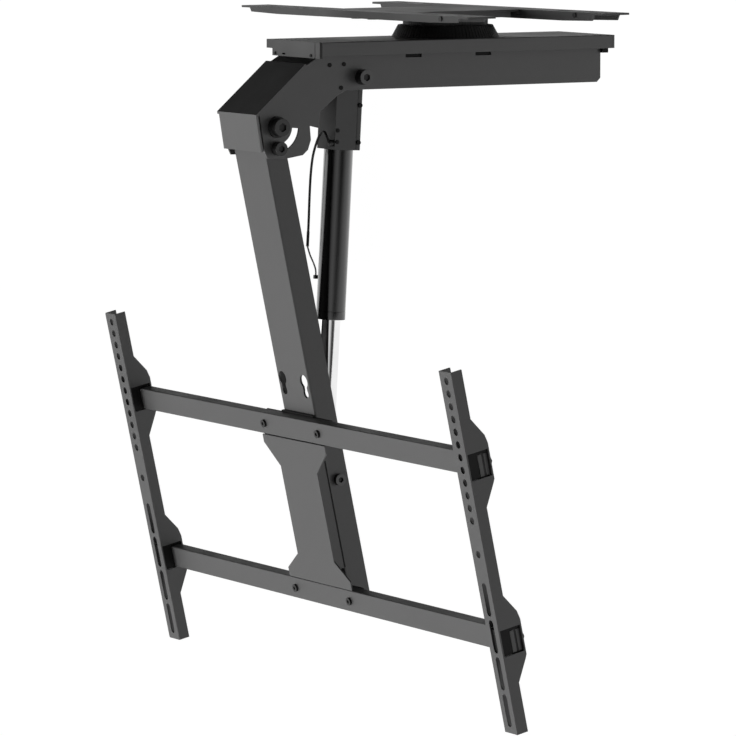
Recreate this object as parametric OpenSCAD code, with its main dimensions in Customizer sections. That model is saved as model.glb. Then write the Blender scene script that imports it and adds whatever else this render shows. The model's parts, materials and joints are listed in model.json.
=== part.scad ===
// Motorized ceiling mount for a flat screen: a fold-down arm under a swivelling beam.
// The origin is on the ceiling face, on the swivel axis. X runs along the screen's width,
// Y runs back along the beam, and Z is up. All lengths are in millimetres.

/* [Ceiling bracket] */
// Turn of the ceiling bars against the beam, as photographed
ceiling_turn = 4; // [0:1:20]
// Length of a ceiling bar
bar_l = 466; // [400:1:560]
// Width of a ceiling bar
bar_w = 40; // [32:1:50]
// Distance between the two bars' centre lines
bar_spacing = 196; // [180:1:240]
// Sheet thickness of the bars
bar_t = 2.5; // [2:0.5:4]
// Height of a bar's edge flanges in the middle
bar_h = 8.5; // [7.5:0.5:11]
// Width of the plate that joins the bars
centre_plate_w = 146; // [130:1:220]
// Thickness of the joining plate
centre_plate_t = 3; // [2:0.5:4]
// Radius of the holes for the ceiling screws
ceiling_hole_r = 4.5; // [3:0.25:6]
// Length of the slots for the ceiling screws, end to end
ceiling_slot_l = 34; // [20:1:50]

/* [Swivel] */
// Distance from the ceiling face down to the top of the tray
drop = 33; // [31:1:45]
// Bottom radius of the ribbed skirt
skirt_r = 65; // [61:1:72]
// Top radius of the ribbed skirt
skirt_top_r = 57; // [55:1:60]
// Height of the ribbed skirt
skirt_h = 14.7; // [10:0.1:16]
// Outer radius of the ribbed ring under the bracket
ring_r = 51; // [46:1:54]
// Radius of the swivel spindle
spindle_r = 14; // [10:0.5:18]
// Depth of the pan under the joining plate
pan_h = 6; // [5:0.5:9]

/* [Tray] */
// Width of the tray
tray_w = 123.5; // [115:0.5:140]
// Distance from the swivel axis to the tray's front
tray_front = 212; // [200:1:240]
// Distance from the swivel axis to the tray's rear
tray_rear = 203; // [198:1:240]
// Height of the tray's side
tray_h = 16; // [14:0.5:20]
// Sheet thickness of the tray
tray_t = 1.5; // [1:0.25:2.5]
// Height of the front cap
cap_h = 19; // [16.5:0.25:19]

/* [Beam] */
// Outer width of the beam
beam_w = 88; // [84:1:100]
// Distance from the ceiling face down to the beam's lower edge
beam_low = 90.4; // [88:0.2:100]
// Distance from the swivel axis to the beam's rear end
beam_rear = 194.5; // [185:0.5:197]
// Sheet thickness of the beam
beam_t = 2.5; // [2:0.25:4]

/* [Knuckle] */
// Distance from the swivel axis forward to the arm pivot
pivot_back = 259.5; // [250:0.5:275]
// Distance from the ceiling face down to the arm pivot
pivot_low = 131; // [126:0.5:136]
// Radius of the arm pivot's shank
pivot_r = 6; // [5:0.25:8]
// Distance from the arm pivot to the stop bolt
stop_radius = 25; // [22:0.5:28]
// Radius of the stop bolt's shank
stop_r = 4; // [3:0.25:5]
// Greatest fold of the arm from its lowered rest
fold_max = 75; // [50:1:76]

/* [Arm] */
// Tilt of the lowered arm from the vertical
arm_tilt = 12.2; // [8:0.2:16]
// Outer width of the arm
arm_w = 73; // [68:0.5:78]
// Depth of the arm's side walls
arm_d = 28.3; // [26:0.1:34]
// Sheet thickness of the arm
arm_t = 2.5; // [2:0.25:3]
// Distance from the arm pivot forward to the arm's front face
arm_ahead = 18.2; // [16:0.1:20]
// Length of the arm below its pivot
arm_l = 579; // [560:1:620]

/* [Actuator] */
// Distance of the actuator's bolt from the swivel axis
anchor_back = 144.5; // [138:0.5:150]
// Distance from the ceiling face down to the actuator's bolt
anchor_low = 75.5; // [73:0.5:77]
// Distance down the arm from its pivot to the rod's pin
rod_down = 430.5; // [425:0.5:436]
// Distance of the rod's pin ahead of the arm pivot
rod_ahead = 3; // [1:0.25:4]
// Width of the actuator's housing
housing_w = 40; // [36:1:46]
// Depth of the actuator's housing
housing_d = 35.5; // [35:0.5:40]
// Distance from the bolt down to the housing's lower end
housing_l = 87.7; // [84:0.1:96]
// Outer radius of the actuator's tube
tube_r = 17.4; // [16.5:0.1:17.4]
// Wall of the actuator's tube
tube_t = 2; // [1.5:0.1:2.2]
// Distance from the bolt down to the tube's lower end
tube_low = 290; // [280:1:294]
// Radius of the chrome rod
rod_r = 12; // [11:0.25:14.5]

/* [Screen frame] */
// Distance down the arm from its pivot to the top of the screen brackets
frame_down = 249.5; // [235:0.5:265]
// Distance of the screen brackets' face ahead of the arm pivot
frame_ahead = 49; // [47.5:0.1:52]
// Length of a screen bracket
bracket_l = 426; // [410:1:450]
// Width of a screen bracket
bracket_w = 25.5; // [22:0.5:30]
// Depth of a screen bracket's side walls
bracket_d = 14.6; // [12:0.1:15]
// Sheet thickness of a screen bracket
bracket_t = 2; // [1.5:0.1:2.4]
// Depth of the lobes that hold the rails
lobe_d = 31.2; // [31:0.1:36]
// Distance of the left bracket from the left end of the rails
left_in = 34.8; // [13:0.1:60]
// Distance of the right bracket from the right end of the rails
right_in = 8; // [6:0.1:60]
// Radius of the screen screws' holes
vesa_r = 4.3; // [3:0.1:4.5]

/* [Rails] */
// Length of a rail
rail_l = 824; // [822:1:900]
// Height of a rail
rail_h = 27; // [24:0.5:30]
// Depth of a rail
rail_d = 13.7; // [12:0.1:13.9]
// Wall of a rail
rail_t = 1.5; // [1:0.1:2]
// Distance from the brackets' top down to the upper rail
upper_rail_down = 99.7; // [90:0.1:105]
// Distance from the upper rail down to the lower rail
rail_pitch = 207; // [200:0.5:215]
// Distance from the brackets' face back to the rails' face
rail_back = 15.3; // [15:0.1:16.5]
// Distance between the two bolts of a rail
rail_bolt_spacing = 125; // [120:1:135]

/* [Hidden] */
$fn = 48;
// Overrun of cuts, running clearance of a shaft, and gap between moving neighbours
over = 1;
run = 0.05;
gap = 0.3;

// Ceiling bracket
bar_shift = [-17, -8];
rear_bar_extra = 2.3;
bar_lip = 16;
bar_chamfer = 5;
bar_end_h = 7.2;
bar_taper = 76;
pan_w = 112;
pan_t = 2;
bar_bolt_x = 16.5;
bar_bolt_r = 4;
bar_bolt_head_r = 7;
bar_bolt_head_h = 4.5;
edge_screw_x = 180;
edge_screw_r = 3.2;
edge_screw_h = 1.5;
ceiling_hole_inset = 40;
ceiling_hole_pitch = 58;
plate_seat = 16;
joggle = 2;

// Swivel
ring_wall = 7;
rib_n = 90;
rib_h = 0.7;
rib_share = 0.55;
spindle_wall = 4;
flange_r = 40;
flange_t = 3;
hub_wall = 8;
washer_t = 2;
collar_h = 8;
collar_r = 26;
skirt_wall = 9;

// Tray, caps and what they hold
seam = 4;
cap_t = 3.5;
cap_corner = 13.5;
cap_step = 10.5;
cap_groove_x = 50.3;
cap_groove_w = 1;
cap_groove_d = 0.6;
tail_h = 6;
cap_screw_r = 2;
cap_screw_h = 1;
board_case_w = 96;
board_case_l = 92;
board_case_h = 11;
board_case_t = 1.5;
board_t = 1.6;
inlet_w = 22;
inlet_d = 14;
inlet_h = 10;

// Beam and knuckle
corner_cut = 5;
vent_l = 22;
vent_h = 5;
vent_depth = 5;
vent_recess = 1.5;
vent_y = [-83, 15];
hood_t = 3;
hood_side = 2;
hood_corner_r = 5;
hood_gap = 2.5;
knuckle = 50;
knuckle_shares = [[1.9, 0.81], [1.66, 0.7], [1.17, 0.32], [1.14, -0.06], [0.89, 0], [0.92, -0.33],
    [0.84, -0.56], [0.7, -0.68], [0.31, -0.74], [-0.26, -0.73]];
hood_shares = [[0.75, 1.46], [-0.59, 0.3], [-0.447, -0.58]];
slot_w = 9;
slot_early = 10.5;
slot_late = 10.5;
washer_r = 12.5;
washer_h = 3;
pivot_head_r = 10.5;
pivot_head_h = 10;
stop_head_r = 8.2;
stop_head_h = 10;
stop_head_gap = 1;
anchor_r = 6;
anchor_head_r = 9;
anchor_head_h = 13;
bush_r = 14;
hood_screw_shares = [[1.43, 1.41], [1.82, 1.42], [1.74, 0.87]];
hood_screw_r = 2.6;
hood_screw_h = 0.8;
key = 2.5;

// Arm
arm_top = 20;
key_r = 8.2;
key_neck_r = 4.5;
key_l = 15;
key_x = 24.7;
key_down = 306.5;
rod_head_r = 7;
rod_head_h = 5.5;

// Actuator
housing_t = 3;
housing_top = 13;
cover_t = 6.5;
cover_screw_r = 2.8;
cover_screw_shares = [0.39, 0.893];
side_screw_shares = [0.739, 0.893];
cover_screw_h = 2;
motor_r = 11;
motor_top = 16;
motor_l = 44;
gearbox_l = 18;
seal_h = 10;
seal_r = 17.5;
screw_r = 5;
screw_clear = 1.2;
guide_h = 10;
nut_h = 16;
rod_engaged = 28;
rod_short = 20;
eye_r = 11;
eye_w = 24;
eye_shank_r = 8;
gland_r = 4;
gland_h = 5;
lead_l = 200;
lead_r = 1.5;
wires_r = 1;
plug_l = 4.5;
plug_w = 4.5;
lead_shares = [[0.075, -0.11375, -0.4], [0.064, -0.125, -0.362], [0.04, -0.13, -0.336], [0, -0.132, -0.352],
    [-0.04, -0.132, -0.41], [-0.07, -0.131, -0.475], [-0.09, -0.127, -0.54], [-0.1, -0.125, -0.63],
    [-0.105, -0.122, -0.745], [-0.105, -0.12, -0.885], [-0.105, -0.12, -1.025]];
wires_shares = [[-0.105, -0.12, -1.025], [-0.105, -0.1, -1.075], [-0.105, -0.075, -1.12],
    [-0.105, -0.057, -1.16], [-0.105, -0.053, -1.195]];

// Screen frame
hole_first_share = 0.0254;
hole_pitch_share = 0.0348;
hole_n = 12;
lone_hole_share = 0.501;
slot_start_shares = [0.5803, 0.6833, 0.7864, 0.8894];
slot_length_share = 0.0927;
lobe_rise = 22;
lobe_above = 42;
lobe_flat = 10;
lobe_end = 24;
window_gap = 0.4;
window_up = 3.6;
strap_t = 1.4;
strap_h = 38;
clamp_r = 3;
clamp_head_r = 5;
clamp_head_h = 6.4;
saddle_w = 150;
rail_bolt_r = 3;
rail_bolt_head_r = 4.8;
rail_bolt_head_h = 2.6;
rail_nut_r = 6;
rail_nut_h = 5;
cap_plug = 12;
cap_lip = 1.2;
plate_gap = 0.8;
plate_t = 2;
plate_waist = 85;
plate_flare = 30;
plate_top_end = 10;
plate_top_flare = 27;
plate_low_end = 11;
plate_low_flare = 21;
plate_lip = 12;

// Derived places
tray_top = -drop;
tray_low = tray_top - tray_h;
pivot_y = -pivot_back;
pivot_z = -pivot_low;
anchor_y = -anchor_back;
anchor_z = -anchor_low;
rod_y = pivot_y + rod_down * sin(arm_tilt) - rod_ahead * cos(arm_tilt);
rod_z = pivot_z - rod_down * cos(arm_tilt) - rod_ahead * sin(arm_tilt);
reach = norm([rod_y - anchor_y, rod_z - anchor_z]);
actuator_tilt = atan2(rod_y - anchor_y, anchor_z - rod_z);
folded_y = pivot_y + rod_down * sin(arm_tilt + fold_max) - rod_ahead * cos(arm_tilt + fold_max);
folded_z = pivot_z - rod_down * cos(arm_tilt + fold_max) - rod_ahead * sin(arm_tilt + fold_max);
closed_reach = norm([folded_y - anchor_y, folded_z - anchor_z]);
swing = atan2(folded_y - anchor_y, anchor_z - folded_z) - actuator_tilt;
stroke = reach - closed_reach;
echo(swing_per_fold = swing / fold_max, slide_mm_per_degree = stroke / fold_max, stroke = stroke);
arm_x = arm_w / 2;
left_out = rail_l / 2 - left_in;
right_out = rail_l / 2 - right_in;
beam_x = beam_w / 2;
arm_front = -arm_ahead;
frame_front = -frame_ahead;
rail_front = frame_front + rail_back;
rail_rear = rail_front + rail_d;
web_gap = arm_front - rail_rear;
rail_downs = [upper_rail_down, upper_rail_down + rail_pitch];
pad_w = bracket_w - 2 * bracket_t - 2 * run;
rod_foot = reach - rod_short;
rod_top = tube_low - rod_engaged;
skirt_low = tray_top;
ring_low = tray_top + skirt_h + gap;
pan_top = -centre_plate_t;
motor_low = motor_top + motor_l;
gearbox_low = motor_low + gearbox_l;
screw_low = rod_top + guide_h + nut_h;

// Extrudes a flat shape, drawn in Y and Z, along X from x by t
module sheet_x(x, t) {
    translate([x, 0, 0]) rotate([90, 0, 90]) linear_extrude(t) children();
}

// A round bar along X from x0 to x1
module bar_x(x0, x1, r) {
    translate([x0, 0, 0]) rotate([0, 90, 0]) cylinder(h = x1 - x0, r = r);
}

// A round bar along Y from y0 to y1
module bar_y(y0, y1, r) {
    translate([0, y0, 0]) rotate([-90, 0, 0]) cylinder(h = y1 - y0, r = r);
}

// A flat shape with two round ends, along its second axis
module long_hole(l, r) {
    square([2 * r, l - 2 * r], center = true);
    for (s = [-1, 1]) translate([0, s * (l / 2 - r)]) circle(r);
}

// Puts its children in the turned frame of the ceiling bracket
module in_ceiling() {
    rotate([0, 0, ceiling_turn]) children();
}

// Puts its children at the middle of the two bars, which lies beside the swivel axis
module on_bars() {
    in_ceiling() translate(bar_shift) children();
}

// Puts its children at the arm pivot, along the tilted arm
module in_arm() {
    translate([0, pivot_y, pivot_z]) rotate([arm_tilt, 0, 0]) children();
}

// Puts its children at the brackets' top edge, on their front face
module in_frame() {
    in_arm() translate([0, frame_front, -frame_down]) children();
}

// Puts its children at the actuator's bolt, along the actuator
module in_actuator() {
    translate([0, anchor_y, anchor_z]) rotate([actuator_tilt, 0, 0]) children();
}

// Ceiling bracket

// One edge flange of a bar, in X and Z, that is deeper in the middle than at its ends
module bar_flange(half, extra) {
    right = [[half - bar_lip, 0], [half - bar_lip - bar_chamfer, -bar_end_h - extra],
        [half - bar_taper, -bar_h - extra]];
    left = [for (i = [len(right) - 1:-1:0]) [-right[i][0], right[i][1]]];
    rotate([90, 0, 0]) linear_extrude(bar_t) polygon(concat(right, left));
}

// One bar along X, with its top face on the ceiling and both edges turned down.
// The edge that faces the axis has a slot where the joining plate passes through it.
module ceiling_bar(y, extra) {
    half = bar_l / 2;
    deep = bar_h + extra;
    notch_y = y < 0 ? bar_w / 2 - bar_t - over : -bar_w / 2 - over;
    translate([0, y, 0]) difference() {
        union() {
            translate([-half, -bar_w / 2, -bar_t]) cube([bar_l, bar_w, bar_t]);
            for (edge = [-bar_w / 2 + bar_t, bar_w / 2]) translate([0, edge, 0]) bar_flange(half, extra);
        }
        for (s = [-1, 1]) translate([s * (half - ceiling_hole_inset), 0, -deep])
            cylinder(h = deep + over, r = ceiling_hole_r);
        for (s = [-1, 1]) translate([s * (half - ceiling_hole_inset - ceiling_hole_pitch), 0, -deep])
            linear_extrude(deep + over) rotate([0, 0, 90]) long_hole(ceiling_slot_l, ceiling_hole_r);
        for (s = [-1, 1]) translate([s * bar_bolt_x, 0, -deep])
            cylinder(h = deep + over, r = bar_bolt_r + gap);
        translate([-centre_plate_w / 2 - gap, notch_y, -bar_t - centre_plate_t - gap])
            cube([centre_plate_w + 2 * gap, bar_t + 2 * over, centre_plate_t + gap]);
    }
}

module front_ceiling_bar() {
    color("#303134") on_bars() ceiling_bar(-bar_spacing / 2, 0);
}

module rear_ceiling_bar() {
    color("#303134") on_bars() ceiling_bar(bar_spacing / 2, rear_bar_extra);
}

// The joining plate: its middle is level with the bars, its ends step down under them
module centre_plate() {
    seat = bar_spacing / 2 + plate_seat;
    step = bar_spacing / 2 - bar_w / 2 - gap;
    half = [[0, 0], [step - joggle, 0], [step - joggle, -bar_t], [seat, -bar_t],
        [seat, -bar_t - centre_plate_t], [step - joggle - centre_plate_t, -bar_t - centre_plate_t],
        [step - joggle - centre_plate_t, -centre_plate_t], [0, -centre_plate_t]];
    color("#3a3b3e") on_bars() difference() {
        for (s = [-1, 1]) scale([1, s, 1]) sheet_x(-centre_plate_w / 2, centre_plate_w) polygon(half);
        for (x = [-1, 1], y = [-1, 1])
            translate([x * bar_bolt_x, y * bar_spacing / 2, -bar_h - centre_plate_t])
                cylinder(h = bar_h + centre_plate_t, r = bar_bolt_r + gap);
    }
}

// Four bolts that clamp the joining plate under the bars, heads below
module bar_bolts() {
    color("#18191b") on_bars() for (x = [-1, 1], y = [-1, 1])
        translate([x * bar_bolt_x, y * bar_spacing / 2, 0]) {
            translate([0, 0, -bar_t - centre_plate_t]) cylinder(h = bar_t + centre_plate_t, r = bar_bolt_r);
            translate([0, 0, -bar_t - centre_plate_t - bar_bolt_head_h])
                cylinder(h = bar_bolt_head_h, r = bar_bolt_head_r);
        }
}

// A small screw in each bar's front edge
module edge_screws() {
    color("#101011") on_bars() for (s = [-1, 1])
        translate([edge_screw_x, s * bar_spacing / 2 - bar_w / 2, -bar_end_h / 2])
            bar_y(-edge_screw_h, 0, edge_screw_r);
}

// Swivel

// A shallow pan under the joining plate, which carries the ring and the spindle
module swivel_pan() {
    color("#343538") in_ceiling() translate([0, 0, pan_top]) difference() {
        translate([-pan_w / 2, -pan_w / 2, -pan_h]) cube([pan_w, pan_w, pan_h]);
        translate([-pan_w / 2 + pan_t, -pan_w / 2 + pan_t, -pan_h - over])
            cube([pan_w - 2 * pan_t, pan_w - 2 * pan_t, pan_h - pan_t + over]);
    }
}

// A round outline with ribs, by the angle of each rib's four corners
function ribbed(r, h) = [for (i = [0:rib_n - 1], k = [0:3])
    let (a = 360 / rib_n * (i + (k < 2 ? 0 : rib_share)), q = r - (k == 1 || k == 2 ? 0 : h))
    [q * cos(a), q * sin(a)]];

// The fixed ring under the pan, with fine upright ribs
module ribbed_ring() {
    top = pan_top - pan_t;
    color("#0d0d0e") translate([0, 0, ring_low]) difference() {
        linear_extrude(top - ring_low) polygon(ribbed(ring_r, rib_h));
        translate([0, 0, -over]) cylinder(h = top - ring_low + 2 * over, r = ring_r - ring_wall);
    }
}

// The hollow spindle that hangs from the pan
module spindle() {
    top = pan_top - pan_t;
    low = tray_low - beam_t - washer_t - collar_h - gap;
    color("#8d9094") difference() {
        union() {
            translate([0, 0, low]) cylinder(h = top - low, r = spindle_r);
            translate([0, 0, top - flange_t]) cylinder(h = flange_t, r = flange_r);
        }
        translate([0, 0, low - over]) cylinder(h = top - low, r = spindle_r - spindle_wall);
    }
}

// The collar on the spindle's foot, which carries the beam
module retaining_collar() {
    top = tray_low - beam_t - washer_t - gap;
    color("#7c7f83") translate([0, 0, top - collar_h]) difference() {
        cylinder(h = collar_h, r = collar_r);
        translate([0, 0, -over]) cylinder(h = collar_h + 2 * over, r = spindle_r);
    }
}

// The tapered skirt on the tray, with ribs all round
module ribbed_skirt() {
    color("#0b0b0c") translate([0, 0, skirt_low]) difference() {
        linear_extrude(skirt_h, scale = skirt_top_r / skirt_r) polygon(ribbed(skirt_r, rib_h));
        translate([0, 0, -over]) cylinder(h = skirt_h + 2 * over, r = skirt_top_r - skirt_wall);
    }
}

// The bearing block between the tray's top and the beam's web
module swivel_hub() {
    color("#5b5d60") translate([0, 0, tray_low]) difference() {
        cylinder(h = tray_h - tray_t, r = spindle_r + hub_wall);
        translate([0, 0, -over]) cylinder(h = tray_h + over, r = spindle_r + run);
    }
}

// The bearing washer between the beam's web and the collar
module thrust_washer() {
    color("#d8d4c4") translate([0, 0, tray_low - beam_t - washer_t]) difference() {
        cylinder(h = washer_t, r = collar_r);
        translate([0, 0, -over]) cylinder(h = washer_t + 2 * over, r = spindle_r + run);
    }
}

// Tray

module tray_cover() {
    front = -tray_front + cap_t;
    rear = tray_rear - cap_t;
    color("#3f4043") difference() {
        translate([-tray_w / 2, front, tray_low]) cube([tray_w, rear - front, tray_h]);
        translate([-tray_w / 2 + tray_t, front - over, tray_low - over])
            cube([tray_w - 2 * tray_t, rear - front + 2 * over, tray_h - tray_t + over]);
        translate([-tray_w / 2 - over, front - over, tray_low - over])
            cube([tray_t + 2 * over, cap_corner + over, tray_h - cap_step + over]);
        translate([0, 0, tray_low]) cylinder(h = tray_h + over, r = spindle_r + gap);
    }
}

// An end cap from y by its thickness and of height h, less its children
module end_cap(y, h) {
    translate([0, y + cap_t, 0]) rotate([90, 0, 0]) linear_extrude(cap_t) difference() {
        translate([-tray_w / 2, tray_top - h]) square([tray_w, h]);
        children();
    }
}

// The front cap, with one lower corner cut, a small slot and an upright groove
module front_cap() {
    color("#48494c") difference() {
        end_cap(-tray_front, cap_h) {
            translate([-tray_w / 2 - over, tray_top - cap_h - over])
                square([cap_corner + over, cap_h - cap_step + over]);
            translate([-tray_w / 2 + cap_corner * 3, tray_low]) rotate([0, 0, 90])
                long_hole(seam * 2, seam / 4);
        }
        translate([cap_groove_x, -tray_front - over, tray_top - cap_h - over])
            cube([cap_groove_w, cap_groove_d + over, cap_h + 2 * over]);
    }
}

module rear_cap() {
    color("#3f4043") end_cap(tray_rear - cap_t, tray_h)
        translate([-inlet_w / 2, tray_low + seam]) square([inlet_w, inlet_h]);
}

// The dark block under the rear cap, behind the beam, and the blocks that close the side openings
module dark_blocks() {
    color("#0d0d0e") {
        translate([-tray_w / 2 + cap_corner, beam_rear, tray_low - tail_h])
            cube([tray_w - 2 * cap_corner, tray_rear - beam_rear, tail_h]);
        for (y = vent_y, s = [-1, 1]) scale([s, 1, 1])
            translate([beam_x - vent_depth, y, tray_low - vent_h])
                cube([vent_depth - vent_recess, vent_l, vent_h]);
    }
}

// The case of the control electronics, on the beam's web under the tray
module control_case() {
    color("#1c1d1f") translate([-board_case_w / 2, tray_rear / 3, tray_low]) difference() {
        cube([board_case_w, board_case_l, board_case_h]);
        translate([board_case_t, board_case_t, board_case_t])
            cube([board_case_w - 2 * board_case_t, board_case_l - 2 * board_case_t, board_case_h]);
    }
}

module circuit_board() {
    inset = board_case_t + gap;
    color("#1d5a3a") translate([-board_case_w / 2 + inset, tray_rear / 3 + inset, tray_low + board_case_t]) {
        cube([board_case_w - 2 * inset, board_case_l - 2 * inset, board_t]);
        for (i = [0:3]) translate([board_case_w * (0.15 + 0.2 * i), board_case_l / 3, board_t])
            cube([board_case_w / 10, board_case_l / 4, board_case_h / 2]);
    }
}

// The power socket in the rear cap
module power_inlet() {
    clear = gap / 3;
    color("#101011") difference() {
        translate([-inlet_w / 2 + clear, tray_rear - inlet_d, tray_low + seam + clear])
            cube([inlet_w - 2 * clear, inlet_d, inlet_h - 2 * clear]);
        translate([0, tray_rear - inlet_d / 2, tray_low + seam + inlet_h / 2])
            bar_y(0, inlet_d, inlet_h / 4);
    }
}

// Beam and knuckle

// Points round the arm pivot from shares of the knuckle's size
function knuckle_points(shares) = [for (p = shares) [pivot_y, pivot_z] + p * knuckle];

// The line inside the hood from its foot up to its roof, at a distance from the front panel's face
function hood_inner(front) =
    let (p = knuckle_points(hood_shares),
        n = [for (i = [0:1]) let (d = (p[i + 1] - p[i]) / norm(p[i + 1] - p[i])) [-d[1], d[0]]],
        c = n[0] * n[1],
        corner = (n[0] * (hood_t - c * front) + n[1] * (front - c * hood_t)) / (1 - c * c))
    [p[2] + n[1] * front, p[1] + corner, p[0] + n[0] * hood_t];

// The pivot plate's outline and the beam's side in one sheet, in Y and Z
module side_outline() {
    difference() {
        polygon(concat([[-tray_front + seam * 3, tray_low], [beam_rear, tray_low],
            [beam_rear, -beam_low + corner_cut], [beam_rear - corner_cut, -beam_low]],
            knuckle_points(knuckle_shares), hood_inner(hood_t + hood_gap)));
        translate([pivot_y, pivot_z]) arc_slot();
        translate([pivot_y, pivot_z]) circle(pivot_r + run);
        translate([anchor_y, anchor_z]) circle(anchor_r + run);
    }
}

// The slot in which the stop bolt travels round the pivot
module arc_slot() {
    a0 = -90 - slot_early;
    a1 = -90 + fold_max + slot_late;
    far = stop_radius * 2;
    intersection() {
        difference() {
            circle(stop_radius + slot_w / 2);
            circle(stop_radius - slot_w / 2);
        }
        polygon([[0, 0], for (k = [0:4]) let (a = a0 + (a1 - a0) * k / 4) [far * cos(a), far * sin(a)]]);
    }
}

// The folded sheet beam: two sides that run on into the knuckle, and a web on top
module beam() {
    color("#3b3c3f") difference() {
        union() {
            for (x = [-beam_x, beam_x - beam_t]) sheet_x(x, beam_t) side_outline();
            translate([-beam_x, -tray_front + seam * 3, tray_low - beam_t])
                cube([beam_w, beam_rear + tray_front - seam * 3, beam_t]);
        }
        for (y = vent_y, s = [-1, 1]) scale([s, 1, 1])
            translate([beam_x - vent_depth, y, tray_low - vent_h])
                cube([vent_depth + over, vent_l, vent_h + over]);
        translate([0, 0, tray_low - beam_t - over]) cylinder(h = beam_t + 2 * over, r = spindle_r + run);
    }
}

// The folded roof that lies on the knuckle's plates, and its front panel a little before them,
// with rounded corners
module hood_cover() {
    p = knuckle_points(hood_shares);
    side = beam_x + hood_side;
    rise = p[1] - p[2];
    color("#26272a") difference() {
        sheet_x(-side, 2 * side) polygon(concat(p, hood_inner(hood_t)));
        for (s = [-1, 1]) scale([s, 1, 1]) translate([side - hood_corner_r, p[2][0], p[2][1]])
            rotate([atan2(-rise[0], rise[1]), 0, 0]) translate([0, 0, -over])
            linear_extrude(norm(rise) - hood_t + over) difference() {
                translate([0, -over]) square(hood_corner_r + over);
                translate([0, hood_corner_r]) circle(hood_corner_r);
            }
    }
}

// Three small screws in each pivot plate, and two in each end cap
module trim_screws() {
    color("#0d0d0e") for (s = [-1, 1]) {
        for (p = knuckle_points(hood_screw_shares)) translate([0, p[0], p[1]]) scale([s, 1, 1])
            bar_x(beam_x, beam_x + hood_screw_h, hood_screw_r);
        for (y = [-tray_front, tray_rear])
            translate([s * (tray_w / 2 - cap_corner * 1.5), y, tray_low + (y < 0 ? 0 : cap_screw_r)])
                scale([1, sign(y), 1]) bar_y(0, cap_screw_h, cap_screw_r);
    }
}

module pivot_bushes() {
    color("#c9c6bb") for (s = [-1, 1]) scale([s, 1, 1]) translate([0, pivot_y, pivot_z]) difference() {
        bar_x(arm_x + gap / 3, beam_x - beam_t, bush_r);
        bar_x(arm_x - over, beam_x + over, pivot_r);
    }
}

// A bolt head with a hexagon socket, from x outwards
module socket_head(x, h, r) {
    difference() {
        bar_x(x, x + h, r);
        translate([x + h - key, 0, 0]) rotate([0, 90, 0]) cylinder(h = key + over, r = r / 2, $fn = 6);
    }
}

module arm_pivot_bolt() {
    color("#1a1b1d") translate([0, pivot_y, pivot_z]) {
        bar_x(-beam_x - washer_h, beam_x + washer_h, pivot_r);
        for (s = [-1, 1]) scale([s, 1, 1]) {
            difference() {
                bar_x(beam_x, beam_x + washer_h, washer_r);
                bar_x(beam_x - over, beam_x + washer_h + over, pivot_r);
            }
            socket_head(beam_x + washer_h, pivot_head_h, pivot_head_r);
        }
    }
}

module anchor_bolt() {
    color("#1a1b1d") translate([0, anchor_y, anchor_z]) {
        bar_x(-beam_x, beam_x, anchor_r);
        for (s = [-1, 1]) scale([s, 1, 1]) socket_head(beam_x, anchor_head_h, anchor_head_r);
    }
}

// Spacers that centre the actuator between the beam's sides
module anchor_spacers() {
    color("#9a9ca0") for (s = [-1, 1]) scale([s, 1, 1]) translate([0, anchor_y, anchor_z]) difference() {
        bar_x(housing_w / 2 + gap / 3, beam_x - beam_t, anchor_head_r);
        bar_x(housing_w / 2 - over, beam_x + over, anchor_r);
    }
}

// Arm and screen frame

// The arm: a channel open at the back, with round shoulders at the pivot
module arm() {
    low = arm_l;
    color("#6a6b6d") in_arm() difference() {
        union() {
            for (x = [-arm_x, arm_x - arm_t]) sheet_x(x, arm_t) {
                translate([arm_front, -low]) square([arm_d, low]);
                circle(arm_ahead);
            }
            translate([-arm_x, arm_front, -low]) cube([arm_w, arm_t, low - arm_top / 4]);
        }
        bar_x(-arm_x - over, arm_x + over, pivot_r + run);
        translate([0, 0, -stop_radius * cos(arm_tilt)]) translate([0, -stop_radius * sin(arm_tilt), 0])
            bar_x(-arm_x - over, arm_x + over, stop_r);
        translate([0, -rod_ahead, -rod_down]) bar_x(-arm_x - over, arm_x + over, anchor_r);
        for (s = [-1, 1]) translate([s * key_x, arm_front - over, -key_down]) rotate([-90, 0, 0])
            linear_extrude(arm_t + 2 * over) key_slot();
    }
}

// A keyhole: a wide round head, a narrow neck and a smaller round foot
module key_slot() {
    circle(key_r);
    translate([-key_neck_r, 0]) square([2 * key_neck_r, key_l]);
    translate([0, key_l]) circle(key_neck_r + over);
}

// The bolt that runs through the arm and both arc slots
module stop_bolt() {
    end = beam_x + stop_head_gap;
    color("#1a1b1d") translate([0, pivot_y, pivot_z - stop_radius]) {
        bar_x(-end, end, stop_r);
        for (s = [-1, 1]) scale([s, 1, 1]) socket_head(end, stop_head_h, stop_head_r);
    }
}

// Plates on the arm's front face that carry the rails
module rail_saddles() {
    color("#232426") in_frame() for (d = rail_downs) difference() {
        translate([-saddle_w / 2, rail_back + rail_d, -d - rail_h])
            cube([saddle_w, web_gap, rail_h]);
        for (s = [-1, 1]) translate([s * rail_bolt_spacing / 2, 0, -d - rail_h / 2])
            bar_y(rail_back, rail_back + rail_d + web_gap + over, rail_bolt_r + gap);
    }
}

// A rail: a rectangular tube from end to end
module rail(d) {
    in_frame() translate([0, rail_back, -d - rail_h]) difference() {
        translate([-rail_l / 2, 0, 0]) cube([rail_l, rail_d, rail_h]);
        translate([-rail_l / 2 - over, rail_t, rail_t])
            cube([rail_l + 2 * over, rail_d - 2 * rail_t, rail_h - 2 * rail_t]);
        for (s = [-1, 1]) translate([s * rail_bolt_spacing / 2, 0, rail_h / 2])
            bar_y(-over, rail_d + over, rail_bolt_r + gap);
    }
}

module upper_rail() {
    color("#6a6b6d") rail(rail_downs[0]);
}

module lower_rail() {
    color("#6a6b6d") rail(rail_downs[1]);
}

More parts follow.
